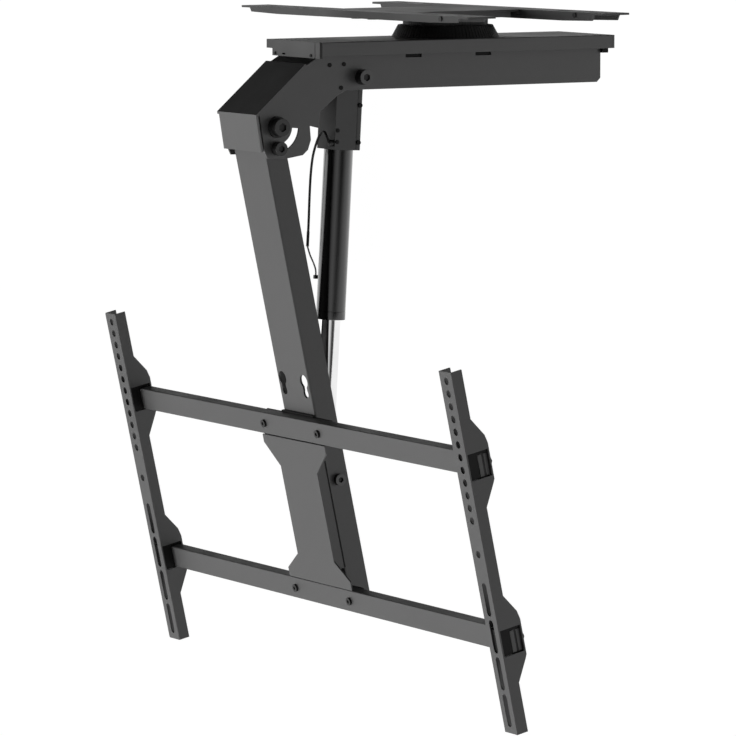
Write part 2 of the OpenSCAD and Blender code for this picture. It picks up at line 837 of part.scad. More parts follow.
// Plugs in the four ends of the rails
module rail_end_caps() {
    color("#1c1d1f") in_frame() for (d = rail_downs, s = [-1, 1]) scale([s, 1, 1]) {
        translate([rail_l / 2, rail_back, -d - rail_h]) cube([cap_lip, rail_d, rail_h]);
        translate([rail_l / 2 - cap_plug, rail_back + rail_t, -d - rail_h + rail_t])
            cube([cap_plug, rail_d - 2 * rail_t, rail_h - 2 * rail_t]);
    }
}

// Bolts through the rails and their saddles, with nuts behind
module rail_bolts() {
    rear = rail_back + rail_d + web_gap;
    color("#141416") in_frame() for (d = rail_downs, s = [-1, 1])
        translate([s * rail_bolt_spacing / 2, 0, -d - rail_h / 2]) {
            difference() {
                bar_y(rail_back - rail_bolt_head_h, rail_back, rail_bolt_head_r);
                translate([0, rail_back - rail_bolt_head_h - over, 0]) rotate([-90, 0, 0])
                    cylinder(h = over + rail_bolt_head_h / 2, r = rail_bolt_head_r / 2, $fn = 6);
            }
            bar_y(rail_back, rear + rail_nut_h, rail_bolt_r);
            difference() {
                translate([0, rear, 0]) rotate([-90, 0, 0]) cylinder(h = rail_nut_h, r = rail_nut_r, $fn = 6);
                bar_y(rear - over, rear + rail_nut_h + over, rail_bolt_r);
            }
        }
}

// The cover plate between the rails: flared ends, a waist, and sides turned back to the arm
module front_plate() {
    top = rail_downs[0] + rail_h + plate_gap;
    low = rail_downs[1] - plate_gap / 2;
    wide = plate_waist / 2 + plate_flare;
    waist = plate_waist / 2;
    side_top = top + plate_top_end + plate_top_flare / 2;
    side_low = low - plate_low_end - plate_low_flare / 2;
    rear = rail_back + rail_d + web_gap;
    right = [[wide, -top], [wide, -top - plate_top_end], [waist, -top - plate_top_end - plate_top_flare],
        [waist, -low + plate_low_end + plate_low_flare], [wide, -low + plate_low_end], [wide, -low]];
    left = [for (i = [len(right) - 1:-1:0]) [-right[i][0], right[i][1]]];
    color("#6a6b6d") in_frame() {
        translate([0, rail_back + plate_t, 0]) rotate([90, 0, 0])
            linear_extrude(plate_t) polygon(concat(right, left));
        for (s = [-1, 1]) scale([s, 1, 1]) {
            translate([waist - plate_t, rail_back, -side_low])
                cube([plate_t, rear - rail_back, side_low - side_top]);
            translate([waist - plate_lip, rear - plate_t, -side_low])
                cube([plate_lip, plate_t, side_low - side_top]);
        }
    }
}

// Heads that hold the rod's pin in the arm's side walls
module rod_pin_heads() {
    color("#141416") in_arm() translate([0, -rod_ahead, -rod_down]) for (s = [-1, 1]) scale([s, 1, 1]) {
        bar_x(arm_x - arm_t, arm_x, anchor_r);
        socket_head(arm_x, rod_head_h, rod_head_r);
    }
}

// One screen bracket's side wall, in Y and Z, with a lobe and a window at each rail
module bracket_side() {
    difference() {
        union() {
            translate([0, -bracket_l]) square([bracket_d, bracket_l]);
            for (d = rail_downs) polygon([[0, -d + lobe_above], [bracket_d, -d + lobe_above],
                [lobe_d - lobe_flat / 4, -d + lobe_above - lobe_rise],
                [lobe_d, -d + lobe_above - lobe_rise - lobe_flat], [lobe_d, -d - rail_h - lobe_flat / 2],
                [lobe_d - lobe_flat / 4, -d - rail_h - lobe_flat],
                [bracket_d, -d - rail_h - lobe_flat - lobe_end], [0, -d - rail_h - lobe_flat - lobe_end]]);
        }
        for (d = rail_downs) translate([bracket_t, -d - rail_h - window_gap])
            square([rail_back + rail_d + window_gap - bracket_t, rail_h + window_gap + window_up]);
    }
}

// A screen bracket with its middle at x: a channel open at the back
module bracket(x) {
    color("#6f7072") in_frame() translate([x, 0, 0]) difference() {
        union() {
            for (s = [-bracket_w / 2, bracket_w / 2 - bracket_t]) sheet_x(s, bracket_t) bracket_side();
            translate([-bracket_w / 2, 0, -bracket_l]) cube([bracket_w, bracket_t, bracket_l]);
        }
        for (i = [0:hole_n - 1]) translate([0, 0, -bracket_l * (hole_first_share + i * hole_pitch_share)])
            bar_y(-over, bracket_t + over, vesa_r);
        translate([0, 0, -bracket_l * lone_hole_share]) bar_y(-over, bracket_t + over, vesa_r);
        for (share = slot_start_shares)
            translate([0, -over, -bracket_l * (share + slot_length_share / 2)]) rotate([-90, 0, 0])
                linear_extrude(bracket_t + 2 * over) long_hole(bracket_l * slot_length_share, vesa_r);
    }
}

// Black pads between the bracket's face and the rails, on which the bracket slides
module slide_pads(x) {
    color("#0d0d0e") in_frame() for (d = rail_downs) translate([x - bracket_w / 2 + bracket_t + run, 0, 0]) {
        translate([0, bracket_t, -d - rail_h])
            cube([pad_w, rail_back - bracket_t - gap, rail_h + window_up]);
        translate([0, bracket_t, -d + gap]) cube([pad_w, rail_back + rail_d - bracket_t, window_up - gap]);
    }
}

// Straps behind the rails that close a bracket's windows
module clamp_straps(x) {
    color("#4a4b4e") in_frame() for (d = rail_downs) translate([x, 0, -d - rail_h / 2]) difference() {
        translate([-bracket_w / 2 + bracket_t, rail_back + rail_d + window_gap, -strap_h / 2])
            cube([bracket_w - 2 * bracket_t, strap_t, strap_h]);
        bar_y(rail_back, rail_back + rail_d + window_gap + strap_t + over, clamp_r);
    }
}

// Screws that lock a bracket on the rails
module clamp_screws(x) {
    seat = rail_back + rail_d + window_gap + strap_t;
    color("#141416") in_frame() for (d = rail_downs) translate([x, 0, -d - rail_h / 2]) {
        bar_y(rail_back + rail_d + gap, seat, clamp_r);
        translate([0, seat, 0]) rotate([-90, 0, 0]) cylinder(h = clamp_head_h, r = clamp_head_r, $fn = 6);
    }
}

module left_bracket() bracket(-left_out);
module right_bracket() bracket(right_out);
module left_slide_pads() slide_pads(-left_out);
module right_slide_pads() slide_pads(right_out);
module left_clamp_straps() clamp_straps(-left_out);
module right_clamp_straps() clamp_straps(right_out);
module left_clamp_screws() clamp_screws(-left_out);
module right_clamp_screws() clamp_screws(right_out);

// Actuator

// The housing: a box with its back open, round the motor and the gearbox
module actuator_housing() {
    x = housing_w / 2;
    y = housing_d / 2;
    color("#3a3b3e") in_actuator() difference() {
        translate([-x, -y, -housing_l]) cube([housing_w, housing_d - cover_t, housing_l + housing_top]);
        translate([-x + housing_t, -y + housing_t, -housing_l + housing_t])
            cube([housing_w - 2 * housing_t, housing_d, housing_l + housing_top - 2 * housing_t]);
        bar_x(-x - over, x + over, anchor_r + run);
        translate([0, 0, -housing_l - over]) cylinder(h = housing_t + 2 * over, r = screw_r + run);
    }
}

module housing_cover() {
    color("#46474a") in_actuator()
        translate([-housing_w / 2, housing_d / 2 - cover_t, -housing_l])
            cube([housing_w, cover_t, housing_l + housing_top]);
}

module cover_screws() {
    color("#0d0d0e") in_actuator() for (s = [-1, 1]) scale([s, 1, 1]) {
        for (share = cover_screw_shares) translate([0, housing_d / 2 - cover_t / 2, -share * housing_l])
            bar_x(housing_w / 2, housing_w / 2 + cover_screw_h, cover_screw_r);
        for (share = side_screw_shares) translate([0, -housing_d / 2 + cover_t / 2, -share * housing_l])
            bar_x(housing_w / 2, housing_w / 2 + hood_screw_h, hood_screw_r);
    }
}

module motor() {
    color("#8d9094") in_actuator() translate([0, 0, -motor_low]) cylinder(h = motor_l, r = motor_r);
}

module gearbox() {
    x = housing_w / 2 - housing_t;
    y = housing_d / 2 - housing_t;
    color("#5b5d60") in_actuator() translate([-x, -y, -gearbox_low])
        cube([2 * x, housing_d - housing_t - cover_t, gearbox_l]);
}

// The black outer tube in which the rod slides
module outer_tube() {
    color("#2c2d30") in_actuator() translate([0, 0, -tube_low + seal_h]) difference() {
        cylinder(h = tube_low - seal_h - housing_l, r = tube_r);
        translate([0, 0, -over]) cylinder(h = tube_low, r = tube_r - tube_t);
    }
}

// The ring that closes the tube's foot and wipes the rod
module tube_seal() {
    color("#0d0d0e") in_actuator() translate([0, 0, -tube_low]) difference() {
        cylinder(h = seal_h, r = seal_r);
        translate([0, 0, -over]) cylinder(h = seal_h + 2 * over, r = rod_r + run);
    }
}

module lead_screw() {
    color("#a9abae") in_actuator() translate([0, 0, -screw_low])
        cylinder(h = screw_low - gearbox_low - gap, r = screw_r);
}

// The chrome rod: a tube that slides over the lead screw
module chrome_rod() {
    bore = screw_r + screw_clear;
    color("#e8e9ea") in_actuator() translate([0, 0, -rod_foot]) difference() {
        cylinder(h = rod_foot - rod_top, r = rod_r);
        translate([0, 0, housing_t]) cylinder(h = rod_foot, r = bore);
        translate([0, 0, rod_foot - rod_top - nut_h]) cylinder(h = rod_foot, r = rod_r - tube_t);
    }
}

// The guide ring at the rod's upper end, which runs in the tube
module rod_guide() {
    color("#d8d4c4") in_actuator() translate([0, 0, -rod_top]) difference() {
        cylinder(h = guide_h, r = tube_r - tube_t - run);
        translate([0, 0, -over]) cylinder(h = guide_h + 2 * over, r = screw_r + screw_clear);
    }
}

// The nut in the rod that the lead screw drives
module drive_nut() {
    color("#b98d43") in_actuator() translate([0, 0, -rod_top - nut_h]) difference() {
        cylinder(h = nut_h, r = rod_r - tube_t);
        translate([0, 0, -over]) cylinder(h = nut_h + 2 * over, r = screw_r + run);
    }
}

// The eye under the rod, round the rod's pin
module rod_eye() {
    color("#b9bbbe") in_actuator() translate([0, 0, -reach]) difference() {
        union() {
            bar_x(-eye_w / 2, eye_w / 2, eye_r);
            cylinder(h = rod_short, r = eye_shank_r);
        }
        bar_x(-eye_w / 2 - over, eye_w / 2 + over, anchor_r);
    }
}

module rod_pin() {
    half = arm_x - arm_t - 2 * gap;
    color("#7c7f83") in_actuator() translate([0, 0, -reach]) bar_x(-half, half, anchor_r);
}

// The small lead that hangs beside the actuator

// Sweeps a round tube along points, with rings square to the way between neighbours
function unit(v) = v / norm(v);
function ring(p, d, r, n) =
    let (u = unit(cross(d, [1, 0, 0])), v = cross(d, u))
    [for (i = [0:n - 1]) p + r * (cos(360 * i / n) * u + sin(360 * i / n) * v)];
function way(p, i) = unit(p[min(i + 1, len(p) - 1)] - p[max(i - 1, 0)]);

module cord_tube(p, r) {
    n = 8;
    rings = [for (i = [0:len(p) - 1], q = ring(p[i], way(p, i), r, n)) q];
    sides = [for (i = [0:len(p) - 2], k = [0:n - 1]) let (a = i * n + k, b = i * n + (k + 1) % n)
        each [[a, b, b + n], [a, b + n, a + n]]];
    caps = [[for (k = [n - 1:-1:0]) k], [for (k = [0:n - 1]) (len(p) - 1) * n + k]];
    polyhedron(rings, concat(sides, caps));
}

// Points between chosen ones on a smooth curve
function smooth(p, steps) = [for (i = [0:len(p) - 2], k = [0:steps - 1])
    let (t = k / steps, a = p[max(i - 1, 0)], b = p[i], c = p[i + 1], d = p[min(i + 2, len(p) - 1)])
    ((2 * b) + (c - a) * t + (2 * a - 5 * b + 4 * c - d) * t ^ 2 + (3 * b - a - 3 * c + d) * t ^ 3) / 2,
    p[len(p) - 1]];
lead_points = [for (p = lead_shares) p * lead_l];
wires_points = [for (p = wires_shares) p * lead_l];
plug_place = wires_points[len(wires_points) - 1];

module cord_gland() {
    color("#0d0d0e") in_actuator() translate([lead_points[0][0], -housing_d / 2, lead_points[0][2]])
        bar_y(-gland_h, 0, gland_r);
}

module cord_lead() {
    color("#0d0d0e") in_actuator() cord_tube(smooth(lead_points, 3), lead_r);
}

module cord_wires() {
    color("#b5b7ba") in_actuator() cord_tube(smooth(wires_points, 3), wires_r);
}

module cord_plug() {
    color("#0d0d0e") in_actuator() translate(plug_place - [plug_w / 2, plug_w / 2, plug_l])
        cube([plug_w, plug_w, plug_l]);
}

front_ceiling_bar();
rear_ceiling_bar();
centre_plate();
bar_bolts();
edge_screws();
swivel_pan();
ribbed_ring();
spindle();
retaining_collar();
ribbed_skirt();
swivel_hub();
thrust_washer();
tray_cover();
front_cap();
rear_cap();
dark_blocks();
control_case();
circuit_board();
power_inlet();
beam();
hood_cover();
trim_screws();
pivot_bushes();
arm_pivot_bolt();
anchor_bolt();
anchor_spacers();
arm();
stop_bolt();
rail_saddles();
front_plate();
upper_rail();
lower_rail();
rail_end_caps();
rail_bolts();
rod_pin_heads();
actuator_housing();
housing_cover();
cover_screws();
motor();
gearbox();
outer_tube();
tube_seal();
lead_screw();
cord_gland();
cord_lead();
cord_wires();
cord_plug();
chrome_rod();
rod_guide();
drive_nut();
rod_eye();
rod_pin();
left_bracket();
left_slide_pads();
left_clamp_straps();
left_clamp_screws();
right_bracket();
right_slide_pads();
right_clamp_straps();
right_clamp_screws();
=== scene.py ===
import json
import math

import bmesh
import bpy
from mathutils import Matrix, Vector


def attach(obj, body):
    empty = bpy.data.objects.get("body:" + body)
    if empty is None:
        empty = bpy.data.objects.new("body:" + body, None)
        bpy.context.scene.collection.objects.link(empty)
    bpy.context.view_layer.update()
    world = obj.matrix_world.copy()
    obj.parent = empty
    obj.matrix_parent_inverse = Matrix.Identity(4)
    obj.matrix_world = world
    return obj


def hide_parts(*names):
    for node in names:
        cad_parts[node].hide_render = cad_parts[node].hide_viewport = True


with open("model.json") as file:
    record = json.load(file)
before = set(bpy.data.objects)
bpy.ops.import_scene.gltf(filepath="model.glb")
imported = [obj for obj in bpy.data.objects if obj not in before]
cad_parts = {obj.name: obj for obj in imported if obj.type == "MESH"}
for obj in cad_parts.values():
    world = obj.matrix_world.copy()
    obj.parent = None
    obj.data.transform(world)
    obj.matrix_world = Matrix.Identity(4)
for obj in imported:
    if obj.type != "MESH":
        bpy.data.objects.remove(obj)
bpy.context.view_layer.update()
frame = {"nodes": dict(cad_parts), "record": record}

MM = 0.001

# Camera, placed as the photograph was taken

AZIMUTH, ELEVATION = 58.68, 6.19
camera = bpy.data.objects.new("photo_camera", bpy.data.cameras.new("photo_camera"))
bpy.context.scene.collection.objects.link(camera)
camera.location = (5.1632, -3.2503, 0.2291)
camera.rotation_euler = (math.radians(90 - ELEVATION), 0, math.radians(AZIMUTH))
camera.data.lens = 248.6
camera.data.sensor_width = 36
camera.data.clip_end = 100
bpy.context.scene.camera = camera

# The lead beside the actuator, by the same points as the CAD source

ANCHOR = Vector((0, -144.5, -75.5))
ROD_PIN = Vector((0, -171.457, -552.411))
LEAD_LENGTH = 200
LEAD_SHARES = [
    (0.075, -0.11375, -0.4), (0.064, -0.125, -0.362), (0.04, -0.13, -0.336), (0, -0.132, -0.352),
    (-0.04, -0.132, -0.41), (-0.07, -0.131, -0.475), (-0.09, -0.127, -0.54), (-0.1, -0.125, -0.63),
    (-0.105, -0.122, -0.745), (-0.105, -0.12, -0.885), (-0.105, -0.12, -1.025)]
WIRES_SHARES = [
    (-0.105, -0.12, -1.025), (-0.105, -0.1, -1.075), (-0.105, -0.075, -1.12),
    (-0.105, -0.057, -1.16), (-0.105, -0.053, -1.195)]
LEAD_R, WIRES_R = 1.5, 1.0
LINE_STEPS, TUBE_STEPS = 6, 4


def along_actuator(point):
    """A point given in mm from the actuator's bolt, along and behind its axis, as a scene point in metres."""
    down = (ROD_PIN - ANCHOR).normalized()
    back = Vector((0, -down.z, down.y))
    return (ANCHOR + Vector((1, 0, 0)) * point[0] + back * point[1] - down * point[2]) * MM


def smooth_line(points, steps):
    """Points on a smooth curve through the chosen ones, as the CAD source has them."""
    line = []
    for i in range(len(points) - 1):
        a = points[max(i - 1, 0)]
        b, c = points[i], points[i + 1]
        d = points[min(i + 2, len(points) - 1)]
        for k in range(steps):
            t = k / steps
            line.append((2 * b + (c - a) * t + (2 * a - 5 * b + 4 * c - d) * t ** 2
                         + (3 * b - a - 3 * c + d) * t ** 3) / 2)
    return line + [points[-1]]


def curve_tube(name, points, radius):
    """A round tube on one open spline."""
    data = bpy.data.curves.new(name, "CURVE")
    data.dimensions = "3D"
    data.bevel_depth = radius
    data.bevel_resolution = TUBE_STEPS
    data.use_fill_caps = True
    spline = data.splines.new("POLY")
    spline.points.add(len(points) - 1)
    for p, q in zip(spline.points, points):
        p.co = (*q, 1)
    obj = bpy.data.objects.new(name, data)
    bpy.context.scene.collection.objects.link(obj)
    return obj


lead_line = smooth_line([along_actuator(Vector(p) * LEAD_LENGTH) for p in LEAD_SHARES], LINE_STEPS)
wires_line = smooth_line([along_actuator(Vector(p) * LEAD_LENGTH) for p in WIRES_SHARES], LINE_STEPS)

# Shader node groups

# The noise mostly stays between these two values
NOISE_LOW, NOISE_HIGH = 0.3, 0.7
# How many times wider than the grain or the turning lines the clouds and smudges are
CLOUD_SPREAD, SMUDGE_SPREAD = 120.0, 30.0
GRAIN_DETAIL, CLOUD_DETAIL, SMUDGE_DETAIL = 2.0, 5.0, 4.0
GRAIN_HEIGHT, LINE_HEIGHT = 0.0002, 0.00005
LINE_STRETCH = (0.02, 0.02, 1.0)
SMUDGE_DARK, SMUDGE_LIGHT = 0.94, 1.04
COAT_ROUGHNESS = 0.2


def new_group(name, inputs, outputs):
    """An empty node group with its sockets, and its input and output nodes."""
    group = bpy.data.node_groups.new(name, "ShaderNodeTree")
    for label, kind, value in inputs:
        socket = group.interface.new_socket(name=label, in_out="INPUT", socket_type="NodeSocket" + kind)
        socket.default_value = value
    for label, kind in outputs:
        group.interface.new_socket(name=label, in_out="OUTPUT", socket_type="NodeSocket" + kind)
    return group, group.nodes.new("NodeGroupInput"), group.nodes.new("NodeGroupOutput")


def noise(group, scale_from, detail, stretch=None):
    """A noise texture on object coordinates, with its scale taken from a socket."""
    place = group.nodes.new("ShaderNodeTexCoord")
    texture = group.nodes.new("ShaderNodeTexNoise")
    texture.inputs["Detail"].default_value = detail
    source = place.outputs["Object"]
    if stretch:
        mapping = group.nodes.new("ShaderNodeMapping")
        mapping.inputs["Scale"].default_value = stretch
        group.links.new(source, mapping.inputs["Vector"])
        source = mapping.outputs["Vector"]
    group.links.new(source, texture.inputs["Vector"])
    group.links.new(scale_from, texture.inputs["Scale"])
    return texture.outputs["Fac"]


def remap(group, value, low, high, from_low=0.0, from_high=1.0):
    """Value from one range to another, each end a number or a socket."""
    node = group.nodes.new("ShaderNodeMapRange")
    group.links.new(value, node.inputs["Value"])
    for label, end in (("From Min", from_low), ("From Max", from_high), ("To Min", low), ("To Max", high)):
        if isinstance(end, (int, float)):
            node.inputs[label].default_value = end
        else:
            group.links.new(end, node.inputs[label])
    return node.outputs["Result"]


def scaled_colour(group, colour, factor):
    """A colour times a grey factor."""
    mix = group.nodes.new("ShaderNodeVectorMath")
    mix.operation = "SCALE"
    group.links.new(colour, mix.inputs[0])
    group.links.new(factor, mix.inputs["Scale"])
    return mix.outputs["Vector"]


def bumped(group, height, strength, distance):
    """A surface normal tilted by a height value."""
    node = group.nodes.new("ShaderNodeBump")
    node.inputs["Distance"].default_value = distance
    group.links.new(strength, node.inputs["Strength"])
    group.links.new(height, node.inputs["Height"])
    return node.outputs["Normal"]


def make_powder_coat():
    """Orange peel, faint cloudiness and dust of a powder-coated sheet."""
    group, given, made = new_group("powder coat", [
        ("Colour", "Color", (0.1, 0.1, 0.1, 1)), ("Grain Scale", "Float", 1600.0),
        ("Grain Depth", "Float", 0.15), ("Cloud", "Float", 0.08), ("Rough Low", "Float", 0.42),
        ("Rough High", "Float", 0.55)],
        [("Colour", "Color"), ("Roughness", "Float"), ("Normal", "Vector")])
    grain = noise(group, given.outputs["Grain Scale"], GRAIN_DETAIL)
    wide = group.nodes.new("ShaderNodeMath")
    wide.operation = "DIVIDE"
    wide.inputs[1].default_value = CLOUD_SPREAD
    group.links.new(given.outputs["Grain Scale"], wide.inputs[0])
    cloud = noise(group, wide.outputs[0], CLOUD_DETAIL)
    up = group.nodes.new("ShaderNodeMath")
    up.operation = "ADD"
    up.inputs[0].default_value = 1.0
    group.links.new(given.outputs["Cloud"], up.inputs[1])
    down = group.nodes.new("ShaderNodeMath")
    down.operation = "SUBTRACT"
    down.inputs[0].default_value = 1.0
    group.links.new(given.outputs["Cloud"], down.inputs[1])
    factor = remap(group, cloud, down.outputs[0], up.outputs[0], NOISE_LOW, NOISE_HIGH)
    group.links.new(scaled_colour(group, given.outputs["Colour"], factor), made.inputs["Colour"])
    rough = remap(group, cloud, given.outputs["Rough Low"], given.outputs["Rough High"],
                  NOISE_LOW, NOISE_HIGH)
    group.links.new(rough, made.inputs["Roughness"])
    group.links.new(bumped(group, grain, given.outputs["Grain Depth"], GRAIN_HEIGHT), made.inputs["Normal"])
    return group


def make_turned_metal():
    """Fine turning lines across a metal piece's length, with a little smudging."""
    group, given, made = new_group("turned metal", [
        ("Colour", "Color", (0.5, 0.5, 0.5, 1)), ("Line Scale", "Float", 900.0), ("Line Depth", "Float", 0.1),
        ("Rough Low", "Float", 0.15), ("Rough High", "Float", 0.3)],
        [("Colour", "Color"), ("Roughness", "Float"), ("Normal", "Vector")])
    lines = noise(group, given.outputs["Line Scale"], GRAIN_DETAIL, stretch=LINE_STRETCH)
    wide = group.nodes.new("ShaderNodeMath")
    wide.operation = "DIVIDE"
    wide.inputs[1].default_value = SMUDGE_SPREAD
    group.links.new(given.outputs["Line Scale"], wide.inputs[0])
    smudge = noise(group, wide.outputs[0], SMUDGE_DETAIL)
    factor = remap(group, smudge, SMUDGE_DARK, SMUDGE_LIGHT, NOISE_LOW, NOISE_HIGH)
    group.links.new(scaled_colour(group, given.outputs["Colour"], factor), made.inputs["Colour"])
    rough = remap(group, smudge, given.outputs["Rough Low"], given.outputs["Rough High"],
                  NOISE_LOW, NOISE_HIGH)
    group.links.new(rough, made.inputs["Roughness"])
    group.links.new(bumped(group, lines, given.outputs["Line Depth"], LINE_HEIGHT), made.inputs["Normal"])
    return group


POWDER_COAT = make_powder_coat()
TURNED_METAL = make_turned_metal()


def finish(name, group, values, metallic=0.0, coat=0.0, specular=0.5):
    """A material of a Principled shader fed by one of the groups, with its own values."""
    material = bpy.data.materials.new(name)
    material.use_nodes = True
    nodes, links = material.node_tree.nodes, material.node_tree.links
    shader = nodes["Principled BSDF"]
    surface = nodes.new("ShaderNodeGroup")
    surface.node_tree = group
    for label, value in values.items():
        surface.inputs[label].default_value = value
    links.new(surface.outputs["Colour"], shader.inputs["Base Color"])
    links.new(surface.outputs["Roughness"], shader.inputs["Roughness"])
    links.new(surface.outputs["Normal"], shader.inputs["Normal"])
    shader.inputs["Metallic"].default_value = metallic
    shader.inputs["Coat Weight"].default_value = coat
    shader.inputs["Coat Roughness"].default_value = COAT_ROUGHNESS
    shader.inputs["Specular IOR Level"].default_value = specular
    return material


def grey(level):
    """A neutral linear colour."""
    return (level, level, level, 1)


FINISHES = {
    "bar_paint": finish("bar powder coat", POWDER_COAT, {"Colour": grey(0.05)}),
    "plate_paint": finish("plate powder coat", POWDER_COAT, {"Colour": grey(0.075)}),
    "beam_paint": finish("beam powder coat", POWDER_COAT, {"Colour": grey(0.15)}),
    "arm_paint": finish("arm powder coat", POWDER_COAT, {"Colour": grey(0.12)}),
    "bracket_paint": finish("bracket powder coat", POWDER_COAT, {"Colour": grey(0.12)}),
    "actuator_paint": finish("actuator enamel", POWDER_COAT, {
        "Colour": grey(0.04), "Grain Depth": 0.03, "Rough Low": 0.16, "Rough High": 0.22}, coat=0.3),
    "black_plastic": finish("moulded black plastic", POWDER_COAT, {
        "Colour": grey(0.006), "Grain Scale": 2600.0, "Grain Depth": 0.25, "Rough Low": 0.5,
        "Rough High": 0.65}),
    "bearing_plastic": finish("acetal", POWDER_COAT, {
        "Colour": (0.62, 0.6, 0.52, 1), "Grain Depth": 0.03, "Rough Low": 0.3, "Rough High": 0.4}),
    "bolt_black": finish("black oxide", TURNED_METAL, {
        "Colour": grey(0.012), "Rough Low": 0.28, "Rough High": 0.4}, metallic=0.4),
    "steel": finish("turned steel", TURNED_METAL, {"Colour": grey(0.45)}, metallic=1.0),
    "gear_metal": finish("cast aluminium", TURNED_METAL, {
        "Colour": grey(0.35), "Rough Low": 0.4, "Rough High": 0.55}, metallic=1.0),
    "chrome": finish("hard chrome", TURNED_METAL, {
        "Colour": grey(0.85), "Line Depth": 0.02, "Rough Low": 0.03, "Rough High": 0.06}, metallic=1.0),
    "brass": finish("machined brass", TURNED_METAL, {"Colour": (0.6, 0.38, 0.12, 1)}, metallic=1.0),
    "board_green": finish("solder mask", POWDER_COAT, {
        "Colour": (0.02, 0.12, 0.05, 1), "Rough Low": 0.25, "Rough High": 0.35}),
    "wire_grey": finish("grey insulation", POWDER_COAT, {
        "Colour": grey(0.45), "Grain Depth": 0.02, "Rough Low": 0.35, "Rough High": 0.45}),
}

TUBE_FINISH = finish("drawn tube enamel", POWDER_COAT, {
    "Colour": grey(0.003), "Grain Depth": 0.02, "Rough Low": 0.15, "Rough High": 0.19},
    coat=0.3, specular=0.8)
# Dull black for the screws and slide pads, and for pieces that stand in for shade: painted shade on the rail
# saddles, the dark blocks and the dark strips on the arm's frame.
DULL_BLACK_AND_PAINTED_SHADE = finish("dull black screws and painted shade", TURNED_METAL, {
    "Colour": grey(0.003), "Rough Low": 0.5, "Rough High": 0.6}, specular=0.2)
# Painted light: lighter copies of the black-oxide finish for the bolts' end faces, standing in for light on
# them; the second one is dimmer.
BOLT_END_PAINTED_LIGHT = finish("bolt ends painted light", TURNED_METAL, {
    "Colour": grey(0.16), "Rough Low": 0.4, "Rough High": 0.55})
DARK_BOLT_END_PAINTED_LIGHT = finish("dark bolt ends painted light", TURNED_METAL, {
    "Colour": grey(0.045), "Rough Low": 0.4, "Rough High": 0.5})
# Painted shade: a near-black finish for the hood cover's upward faces, standing in for the shade on its roof.
HOOD_ROOF_PAINTED_SHADE = finish("hood roof painted shade", POWDER_COAT, {
    "Colour": grey(0.008), "Rough Low": 0.5, "Rough High": 0.6}, specular=0.15)
# Painted light: a lighter finish on the black front cap's forward faces, standing in for the light that falls
# on them.
CAP_FACE_PAINTED_LIGHT = finish("front cap painted light", POWDER_COAT, {"Colour": grey(0.03)})
# Painted shade: a near-black finish on the actuator housing's forward faces, which lie in the arm's shade.
HOUSING_FRONT_PAINTED_SHADE = finish("housing front painted shade", POWDER_COAT, {
    "Colour": grey(0.006), "Rough Low": 0.4, "Rough High": 0.5}, specular=0.2)
# Painted highlight: a grey finish for the ribs on the black rail end caps, standing in for a light bar there.
RIB_PAINTED_HIGHLIGHT = finish("rail end ribs painted highlight", POWDER_COAT, {"Colour": grey(0.12)})

# Pieces whose finish is not their slot's own
# Screws and slide pads in dull black; the rail saddles' dull black strip above the rails and the dark blocks
# are partly painted shade.
DULL_BLACK_AND_SHADE_NODES = ("trim_screws", "cover_screws", "rail_saddles", "left_slide_pads", "right_slide_pads",
              "dark_blocks")
OWN_FINISHES = {"outer_tube": TUBE_FINISH, "tube_seal": TUBE_FINISH, "rear_cap": FINISHES["beam_paint"]}
OWN_FINISHES.update({node: DULL_BLACK_AND_PAINTED_SHADE for node in DULL_BLACK_AND_SHADE_NODES})

# CAD pieces, copied with broken edges and their finish

SAME_PLACE, SAME_PLANE = 1e-6, math.radians(0.5)
SHARP_ANGLE, EDGE_ANGLE, FOLD_ANGLE = math.radians(32), math.radians(34), math.radians(60)
EDGE_STEPS, FOLD_STEPS = 2, 4
# A fold's least length and the least breadth of the faces beside it, in mm
FOLD_LENGTH, FOLD_FACE = 60, 7
# Least cosine between a face's normal and a direction that it looks
FACING = 0.6

BODY_OF = {node: body for body, nodes in frame["record"]["behaviour"]["bodies"].items() for node in nodes}
SLOT_OF = {row["node"]: row["material_slot"] for row in frame["record"]["subparts"]}


def clean_copy(node):
    """The node's mesh with its triangles joined into flat faces."""
    bm = bmesh.new()
    bm.from_mesh(frame["nodes"][node].data)
    bmesh.ops.remove_doubles(bm, verts=bm.verts, dist=SAME_PLACE)
    bmesh.ops.dissolve_limit(bm, angle_limit=SAME_PLANE, verts=bm.verts, edges=bm.edges)
    mesh = bpy.data.meshes.new(node + "_finished")
    bm.to_mesh(mesh)
    bm.free()
    return mesh


def shade(mesh):
    """Smooth shading, with sharp edges where two faces meet at a clear angle."""
    bm = bmesh.new()
    bm.from_mesh(mesh)
    for face in bm.faces:
        face.smooth = True
    for edge in bm.edges:
        edge.smooth = not (edge.is_manifold and edge.calc_face_angle(0) > SHARP_ANGLE)
    bm.to_mesh(mesh)
    bm.free()


def mark_bends(mesh):
    """Full bevel weight on the long outer edges between two broad faces, where the sheet is folded."""
    bm = bmesh.new()
    bm.from_mesh(mesh)
    weight = bm.edges.layers.float.new("bevel_weight_edge")
    for edge in bm.edges:
        length = edge.calc_length()
        if length > FOLD_LENGTH * MM and edge.is_manifold and edge.is_convex:
            broad = all(face.calc_area() / length > FOLD_FACE * MM for face in edge.link_faces)
            if broad and edge.calc_face_angle(0) > FOLD_ANGLE:
                edge[weight] = 1.0
    bm.to_mesh(mesh)
    bm.free()


